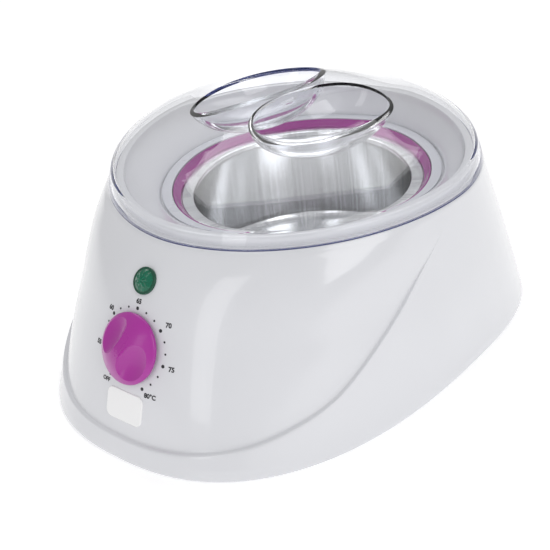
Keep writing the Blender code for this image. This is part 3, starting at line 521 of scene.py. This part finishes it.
def shell_rows():
    """Rings of the housing from its bottom edge up, over the rim, down the well and back inside the wall."""
    angles = [2.0 * math.pi * i / AROUND for i in range(AROUND)]
    steps = [swoosh_height(a) for a in angles]

    def ring(spot):
        return [(x, y + POT_Y, z) for x, y, z in (spot(a, s) for a, s in zip(angles, steps))]

    rows = [ring(lambda a, s, z=z, i=i: body_point(a, z, i))
            for z, i in ((SKIRT_LOW, 2.0), (SKIRT_LOW + 0.1, 1.3), (SKIRT_LOW + 0.4, 0.75),
                         (SKIRT_LOW + 1.0, 0.3), (SKIRT_LOW + 2.0, 0.06), (WIDEST_Z, 0.0))]
    for share in (0.12, 0.25, 0.4, 0.55, 0.7, 0.83, 0.93):
        rows.append(ring(lambda a, s, t=share: body_point(a, mix(WIDEST_Z, s - 1.4, t))))
    for rise, sunk in ((-1.4, 0.0), (-0.7, 0.0), (-0.32, 0.04), (-0.12, 0.14), (0.0, 0.3), (0.08, 0.6),
                       (0.16, 0.86), (0.32, 0.97), (0.6, 1.0), (1.4, 1.0)):
        rows.append(ring(lambda a, s, r=rise, k=sunk: body_point(a, s + r, k * recess(s + r))))
    top = SEAT_Z - 1.6
    for k in range(1, FRONT_STEPS + 1):
        rows.append(ring(lambda a, s, t=k / FRONT_STEPS: body_point(a, mix(s + 1.4, top, t),
                                                             recess(mix(s + 1.4, top, t)))))
    for z, i in ((SEAT_Z - 0.7, 0.05), (SEAT_Z - 0.25, 0.25), (SEAT_Z, 0.7), (SEAT_Z, RIM_INSET - 0.7),
                 (SEAT_Z + 0.3, RIM_INSET - 0.1), (RIM_TOP - 1.2, RIM_INSET),
                 (RIM_TOP - 0.4, RIM_INSET + 0.25), (RIM_TOP, RIM_INSET + 0.9),
                 (RIM_TOP, RIM_INSET + RIM_WIDTH - 0.9),
                 (RIM_TOP - 0.3, RIM_INSET + RIM_WIDTH - 0.2), (RIM_TOP - 1.0, RIM_INSET + RIM_WIDTH)):
        rows.append(ring(lambda a, s, z=z, i=i: top_point(a, z, i)))
    edge = RIM_INSET + RIM_WIDTH
    low, high = WELL_FLOOR_Z, RIM_TOP - 1.2

    def well_point(a, z, t, extra=0.0):
        (x0, y0, _), (x1, y1, _) = top_point(a, z, edge - extra), round_point(a, z, WELL_FLOOR_R + extra)
        return mix(x0, x1, t), mix(y0, y1, t), z - extra

    for k in range(1, WELL_STEPS + 1):
        share = k / WELL_STEPS
        rows.append(ring(lambda a, s, u=share: well_point(a, mix(high, low, u), smooth(0.0, 1.0, u))))
    for radius, z in ((WELL_FLOOR_R - 0.6, low), (MOUTH_R + 0.3, low), (MOUTH_R, low - 0.3),
                      (MOUTH_R, low - WELL_WALL)):
        rows.append(ring(lambda a, s, r=radius, z=z: round_point(a, z, r)))
    for u in (1.0, 0.7, 0.4, 0.12):
        rows.append(ring(lambda a, s, u=u: well_point(a, mix(high, low, u), smooth(0.0, 1.0, u),
                                                   WELL_WALL)))
    for z in (SEAT_Z - 4.0, 60.0, 30.0, WIDEST_Z):
        rows.append(ring(lambda a, s, z=z: body_point(a, z, SHELL_INNER)))
    rows.append(ring(lambda a, s: body_point(a, SKIRT_LOW, SHELL_INNER)))
    return rows


def housing():
    shell = new_object("housing_shell", loft(shell_rows(), closed=True), WHITE, "base", 50.0)
    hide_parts("upper_housing")


# --- lid ----------------------------------------------------------------------------------------

def lid_height(rho, x, y, drop):
    crown = LID_RISE - 14.5 - drop
    swell = 7.5 * math.exp(-(math.hypot(x, y) / 46.0) ** 4)
    return SEAT_Z + 7.0 + crown * (1.0 - min(rho / 0.978, 1.0) ** 2.7) ** 0.66 + swell


def lid_skin(inset, drop, base):
    size = (TOP_HALF_WIDTH - inset, TOP_FRONT - inset, TOP_BACK - inset)
    angles = [2.0 * math.pi * i / AROUND for i in range(AROUND)]

    def ring(rho, z=None):
        row = []
        for a in angles:
            x, y = oval_point(a, [c * rho for c in size], TOP_EXPONENTS, 0.0)
            row.append((x, y + POT_Y, lid_height(rho, x, y, drop) if z is None else z))
        return row

    rows = [ring(1.0, base), ring(1.0, base + 0.6), ring(0.9985, SEAT_Z + 1.6), ring(0.9955, SEAT_Z + 2.8),
            ring(0.990, SEAT_Z + 4.3), ring(0.9835, SEAT_Z + 5.9)]
    rows += [ring(0.978 * (1.0 - (k / 44.0) ** 2.0)) for k in range(0, 44)]
    tip = (0.0, POT_Y, lid_height(0.0, 0.0, 0.0, drop))
    return loft(rows, tip=tip)


def boolean(target, cutter):
    mod = target.modifiers.new("cut", "BOOLEAN")
    mod.operation = "DIFFERENCE"
    mod.solver = "EXACT"
    mod.object = cutter


def baked(obj, *cutters):
    """Mesh of obj with its modifiers applied. The object and the cutters are removed."""
    bpy.context.view_layer.update()
    graph = bpy.context.evaluated_depsgraph_get()
    mesh = bpy.data.meshes.new_from_object(obj.evaluated_get(graph), depsgraph=graph)
    for old in (obj, *cutters):
        bpy.data.objects.remove(old, do_unlink=True)
    return mesh


def helper(bm, matrix=None):
    mesh = bpy.data.meshes.new("helper")
    bm.to_mesh(mesh)
    bm.free()
    obj = bpy.data.objects.new("helper", mesh)
    bpy.context.scene.collection.objects.link(obj)
    if matrix is not None:
        obj.matrix_world = matrix
    return obj


def ellipsoid(half, around=96, down=48):
    bm = bmesh.new()
    bmesh.ops.create_uvsphere(bm, u_segments=around, v_segments=down, radius=1.0)
    bmesh.ops.scale(bm, vec=half, verts=bm.verts)
    return bm


def cup(sign, grow):
    along = Vector((math.cos(GRIP_TURN), math.sin(GRIP_TURN), 0.0))
    across = Vector((math.sin(GRIP_TURN), -math.cos(GRIP_TURN), 0.0))
    middle = Vector((GRIP_MID[0], GRIP_MID[1] + POT_Y, CUP_LEVEL))
    centre = middle + (along * CUP_SHIFT + across * CUP_OFF) * sign
    turn = Matrix.Translation(centre) @ Matrix.Rotation(GRIP_TURN, 4, "Z")
    return helper(ellipsoid([half + grow for half in CUP_HALF]), turn)


def lid():
    outer = helper(lid_skin(LID_INSET, 0.0, SEAT_Z + 0.3))
    hollow = helper(lid_skin(LID_INSET + LID_WALL, LID_WALL, SEAT_Z - 6.0))
    walls = [cup(sign, LID_WALL) for sign in (1, -1)]
    for wall in walls:
        boolean(hollow, wall)
    inside = bpy.data.objects.new("inside", baked(hollow, *walls))
    bpy.context.scene.collection.objects.link(inside)
    bowls = [cup(sign, 0.0) for sign in (1, -1)]
    for cutter in (inside, *bowls):
        boolean(outer, cutter)
    bm = bmesh.new()
    bm.from_mesh(baked(outer, inside, *bowls))
    bmesh.ops.remove_doubles(bm, verts=bm.verts, dist=0.0005)
    shell = new_object("lid_shell", bm, CLEAR, "lid", 28.0)
    shell.data.materials.append(LID_EDGE_TINT_AND_SHADE)
    # The lowest band of the lid takes the navy: painted shade for its dark edge line, partly the plastic's own
    # tint.
    for face in shell.data.polygons:
        face.material_index = 1 if face.center.z < (SEAT_Z + 0.65) * MM else 0
    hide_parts("clear_lid")


# --- mouth, pot ---------------------------------------------------------------------------------

POT = Matrix.Translation((0.0, POT_Y, 0.0))


def mouth():
    low, inner = WELL_FLOOR_Z + 0.3, FUNNEL_R + 0.3
    corners = [(inner, COLLAR_TOP), (COLLAR_R, COLLAR_TOP), (COLLAR_R, low), (inner, low)]
    profile = rounded_profile(corners, 0.5, 4)
    collar = new_object("mouth_collar", turned(profile, 160, POT), GREY, "base")
    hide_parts("collar_ring")
    throat = FLANGE_R + 0.3
    foot = FLANGE_Z - 0.9
    profile = [(throat, FLANGE_Z + 0.3), (throat + 0.3, FLANGE_Z + 0.75), (throat + 0.9, FLANGE_Z + 1.2),
               (throat + 1.8, FLANGE_Z + 2.1), (FUNNEL_R - 0.9, COLLAR_TOP - 0.75),
               (FUNNEL_R - 0.55, COLLAR_TOP - 0.48), (FUNNEL_R - 0.25, COLLAR_TOP - 0.5),
               (FUNNEL_R, COLLAR_TOP - 0.75), (FUNNEL_R, foot - 4.0), (FUNNEL_R - 1.4, foot - 4.0),
               (FUNNEL_R - 1.4, foot), (throat, foot)]
    funnel = new_object("mouth_funnel", turned(profile, 160, POT), MAGENTA, "base")
    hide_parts("accent_ring")


def pot():
    bottom, wall, corner = POT_FLOOR_Z, POT_WALL, POT_CORNER
    outer = POT_R + wall
    profile = [(0.0, bottom), (POT_R * 0.4, bottom), (POT_R - corner, bottom)]
    for k in range(1, 9):
        turn = math.radians(90.0 * k / 8.0)
        profile.append((POT_R - corner + corner * math.sin(turn), bottom + corner - corner * math.cos(turn)))
    profile += [(POT_R, bottom + 20.0), (POT_R, FLANGE_Z - 3.4), (POT_R - 0.25, FLANGE_Z - 2.9),
               (POT_R - 0.55, FLANGE_Z - 2.4), (POT_R - 0.6, FLANGE_Z - 1.9), (POT_R - 0.4, FLANGE_Z - 1.5),
               (POT_R - 0.1, FLANGE_Z - 1.1), (POT_R, FLANGE_Z - 0.6), (POT_R + 0.2, FLANGE_Z - 0.2),
               (POT_R + 0.7, FLANGE_Z), (FLANGE_R - 0.4, FLANGE_Z), (FLANGE_R - 0.1, FLANGE_Z - 0.12),
               (FLANGE_R, FLANGE_Z - 0.4), (FLANGE_R - 0.1, FLANGE_Z - 0.8),
               (FLANGE_R - 0.4, FLANGE_Z - wall), (outer + 0.5, FLANGE_Z - wall),
               (outer, FLANGE_Z - wall - 0.6), (outer, bottom + corner)]
    for k in range(1, 9):
        turn = math.radians(90.0 * (1.0 - k / 8.0))
        profile.append((outer - corner + corner * math.sin(turn),
                       bottom + corner - wall - corner * math.cos(turn)))
    profile.append((0.0, bottom - wall))
    vessel = new_object("pot_vessel", turned(profile, 160, POT), ALUMINIUM, "pot", 60.0)
    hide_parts("wax_pot")


# --- control panel ------------------------------------------------------------------------------

def dial_frame():
    across = Vector((1.0, 0.0, 0.0))
    up = KNOB_OUT.cross(across)
    turn = Matrix((across, up, KNOB_OUT)).transposed().to_4x4()
    return Matrix.Translation(KNOB_SPOT) @ turn


DIAL = dial_frame()


def face_frame(x, z):
    """Frame on the front shell at a width and a height: local Z points out and local Y up the face."""
    spot = front_point(x, z)
    right = (front_point(x + 0.5, z) - front_point(x - 0.5, z)).normalized()
    up = (front_point(x, z + 0.5) - front_point(x, z - 0.5)).normalized()
    out = right.cross(up).normalized()
    up = out.cross(right)
    return Matrix.Translation(spot) @ Matrix((right, up, out)).transposed().to_4x4()


def dial_face(radius, degrees):
    """Frame on the shell at a dial position. Degrees run clockwise from the top."""
    turn = math.radians(degrees)
    spot = DIAL @ Vector((radius * math.sin(turn), radius * math.cos(turn) - 0.4, 0.0))
    return face_frame(spot.x, spot.z)


def knob():
    profile = [(KNOB_R * 0.97 * k / 16.0, mix(KNOB_H, KNOB_RIM, (0.97 * k / 16.0) ** 2)) for k in range(17)]
    profile += [(KNOB_R - 0.22, KNOB_RIM + 0.08), (KNOB_R - 0.05, KNOB_RIM - 0.2), (KNOB_R, KNOB_RIM - 0.5),
                (KNOB_R - 0.2, KNOB_LOW), (8.2, KNOB_LOW), (8.2, 2.8), (0.0, 3.3)]
    blank = helper(turned(profile, 144))
    turn = Matrix.Rotation(math.radians(KNOB_SET - 180.0), 4, "Z")
    scoops = []
    for side in (1, -1):
        spot = Matrix.Translation((side * SCOOP_SPOT[0], side * SCOOP_SPOT[1], SCOOP_SPOT[2]))
        scoops.append(helper(ellipsoid(SCOOP_HALF), turn @ spot @ Matrix.Rotation(SCOOP_SKEW, 4, "Z")))
        boolean(blank, scoops[-1])
    bm = bmesh.new()
    bm.from_mesh(baked(blank, *scoops))
    bmesh.ops.remove_doubles(bm, verts=bm.verts, dist=0.0005)
    sharp = [e for e in bm.edges if len(e.link_faces) == 2 and e.calc_face_angle(0.0) > 0.55
             and min(v.co.z for v in e.verts) > KNOB_LOW + 1.2]
    bmesh.ops.bevel(bm, geom=sharp, offset=0.28, segments=3, profile=0.6, affect="EDGES", clamp_overlap=True)
    bmesh.ops.transform(bm, matrix=DIAL, verts=bm.verts)
    cap = new_object("dial_knob", bm, KNOB_PINK, "knob", 32.0)
    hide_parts("control_knob")


def add_dot(bm, radii, degrees):
    rim, top = radii
    profile = [(0.0, 0.14), (top, 0.13), (rim, 0.06), (rim, -0.3), (0.0, -0.3)]
    dot = turned(profile, 20, dial_face(DOT_R, degrees))
    mesh = bpy.data.meshes.new("dot")
    dot.to_mesh(mesh)
    dot.free()
    bm.from_mesh(mesh)
    bpy.data.meshes.remove(mesh)


def dots():
    bm = bmesh.new()
    for k in range(DOT_COUNT):
        add_dot(bm, SMALL_DOT if k % DOTS_A_NUMBER else BIG_DOT, DIAL_START + DIAL_STEP * k)
    add_dot(bm, OFF_DOT, OFF_AT)
    new_object("dial_dots", bm, INK, "base")


def number(name, text, degrees, radius, size=2.9):
    curve = bpy.data.curves.new(name, "FONT")
    curve.body = text
    curve.size = size
    curve.offset = 0.035 * size
    curve.extrude = 0.05
    curve.align_x = "CENTER"
    curve.align_y = "CENTER"
    curve.resolution_u = 4
    source = bpy.data.objects.new("text", curve)
    bpy.context.scene.collection.objects.link(source)
    bpy.context.view_layer.update()
    mesh = bpy.data.meshes.new_from_object(source.evaluated_get(bpy.context.evaluated_depsgraph_get()))
    bpy.data.objects.remove(source, do_unlink=True)
    bm = bmesh.new()
    bm.from_mesh(mesh)
    bmesh.ops.remove_doubles(bm, verts=bm.verts, dist=0.0005)
    place = dial_face(radius, degrees) @ Matrix.Translation((0.0, 0.0, 0.03))
    bmesh.ops.transform(bm, matrix=place, verts=bm.verts)
    new_object(name, bm, INK, "base")


def dial_marks():
    dots()
    for k, (text, radius, shift) in enumerate(MARKS):
        degrees = DIAL_START + DOTS_A_NUMBER * DIAL_STEP * k + shift
        number("dial_number_%d" % (55 + 5 * k), text, degrees, radius)
    number("dial_off", "OFF", OFF_AT, 22.0, 2.6)


def lamp_seat():
    """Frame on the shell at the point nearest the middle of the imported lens."""
    low, high = box_mm("pilot_lens")
    middle = (low + high) / 2.0
    spots = [front_point(0.0, high.z - 0.25 * k) for k in range(60)]
    best = min(spots, key=lambda p: abs((p - middle).dot(face_frame(0.0, p.z).col[1].to_3d())))
    return face_frame(0.0, best.z)


def lens_rings(bm):
    """Rings of a low dome. Alternate points stand a little proud, which makes the facets."""
    rows = []
    for r in range(1, LENS_RINGS + 1):
        radius = LENS_R * r / LENS_RINGS
        dome = LENS_CROWN - LENS_DROP * (r / LENS_RINGS) ** 2.0
        row = []
        for i in range(FACETS):
            angle = 2.0 * math.pi * (i + 0.5 * (r % 2)) / FACETS
            lift = FACET_LIFT if (i + r) % 2 and r < LENS_RINGS else 0.0
            row.append(bm.verts.new((radius * math.cos(angle), radius * math.sin(angle), dome + lift)))
        rows.append(row)
    return rows


def lens():
    bm = bmesh.new()
    centre = bm.verts.new((0.0, 0.0, LENS_CROWN))
    rows = lens_rings(bm)
    for i in range(FACETS):
        bm.faces.new((centre, rows[0][i], rows[0][(i + 1) % FACETS]))
    for r, (inner, outer) in enumerate(zip(rows, rows[1:])):
        for i in range(FACETS):
            j = (i + 1) % FACETS
            a, b, c, d = inner[i], inner[j], outer[j], outer[i]
            if r % 2 == 0:
                bm.faces.new((a, b, c))
                bm.faces.new((a, c, d))
            else:
                bm.faces.new((a, b, d))
                bm.faces.new((b, c, d))
    under = [bm.verts.new((v.co.x, v.co.y, -0.5)) for v in rows[-1]]
    for i in range(FACETS):
        j = (i + 1) % FACETS
        bm.faces.new((rows[-1][i], rows[-1][j], under[j], under[i]))
    bm.faces.new(under)
    return bm


def lamp():
    seat = lamp_seat()
    corners = [(BEZEL_R, 0.75), (BEZEL_R, -0.6), (BEZEL_INNER, -0.6), (BEZEL_INNER, 0.75)]
    bezel = rounded_profile(corners, 0.3, 4)
    rim = new_object("lamp_bezel", turned(bezel, 72, seat), GREEN_BEZEL, "base")
    bm = lens()
    bmesh.ops.transform(bm, matrix=seat, verts=bm.verts)
    glass = new_object("lamp_lens", bm, GREEN, "base", 4.0)
    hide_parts("pilot_lens")


# --- studio -------------------------------------------------------------------------------------

LAMP_AIM = Vector((0.0, 0.0, 0.06))


def floor():
    bm = bmesh.new()
    bmesh.ops.create_grid(bm, x_segments=1, y_segments=1, size=40000.0)
    bmesh.ops.translate(bm, vec=(0.0, 0.0, -0.05), verts=bm.verts)
    mat, tree, shader = principled("studio_floor", (0.93, 0.93, 0.93), 0.8)
    tint(tree, noise(tree, 2.0, 2.0), [0.925] * 3, [0.935] * 3, shader.inputs["Base Color"])
    shader.inputs["Emission Color"].default_value = (1.0, 1.0, 1.0, 1.0)
    shader.inputs["Emission Strength"].default_value = 0.32
    plane = new_object("studio_floor", bm, mat, None)


def softbox(name, spot, size, power):
    """Rectangular lamp in metres and watts, aimed at the middle of the warmer."""
    data = bpy.data.lights.new(name, "AREA")
    data.shape = "RECTANGLE"
    data.size, data.size_y = size
    data.energy = power
    obj = bpy.data.objects.new(name, data)
    bpy.context.scene.collection.objects.link(obj)
    obj.location = spot
    obj.rotation_euler = (LAMP_AIM - Vector(spot)).to_track_quat("-Z", "Y").to_euler()


def studio():
    world = bpy.data.worlds.new("studio")
    world.use_nodes = True
    back = world.node_tree.nodes["Background"]
    back.inputs["Color"].default_value = (1.0, 1.0, 1.0, 1.0)
    back.inputs["Strength"].default_value = 0.54
    bpy.context.scene.world = world
    bpy.context.scene.view_settings.view_transform = "Standard"
    softbox("key_box", (0.95, -0.25, 0.75), (0.5, 0.9), 3.0)
    softbox("front_box", (0.15, -1.1, 0.62), (0.3, 1.2), 1.5)
    softbox("top_box", (-0.35, 0.45, 1.0), (0.9, 0.5), 2.9)


def camera():
    """Three-quarter view from above, a little rolled."""
    azimuth, elevation, roll = math.radians(42.6), math.radians(31.3), math.radians(-7.3)
    distance, field, side, rise = 0.592, 1179.0 / 550.0, -0.0184, 0.0194
    ca, sa, ce, se = math.cos(azimuth), math.sin(azimuth), math.cos(elevation), math.sin(elevation)
    right = Vector((ca, sa, 0.0))
    up = Vector((-sa * se, ca * se, ce))
    out = Vector((sa * ce, -ca * ce, se))
    spot = Vector((side * ca, side * sa + POT_Y * MM, rise)) + out * distance
    rolled_right = right * math.cos(roll) + up * math.sin(roll)
    rolled_up = up * math.cos(roll) - right * math.sin(roll)
    data = bpy.data.cameras.new("camera")
    data.sensor_width = 36.0
    data.lens = 36.0 * field
    data.clip_start = 0.01
    obj = bpy.data.objects.new("camera", data)
    bpy.context.scene.collection.objects.link(obj)
    turn = Matrix((rolled_right, rolled_up, out)).transposed().to_4x4()
    obj.matrix_world = Matrix.Translation(spot) @ turn
    bpy.context.scene.camera = obj


paint_cad()
housing()
lid()
mouth()
pot()
knob()
dial_marks()
lamp()
floor()
studio()
camera()
bpy.context.view_layer.update()
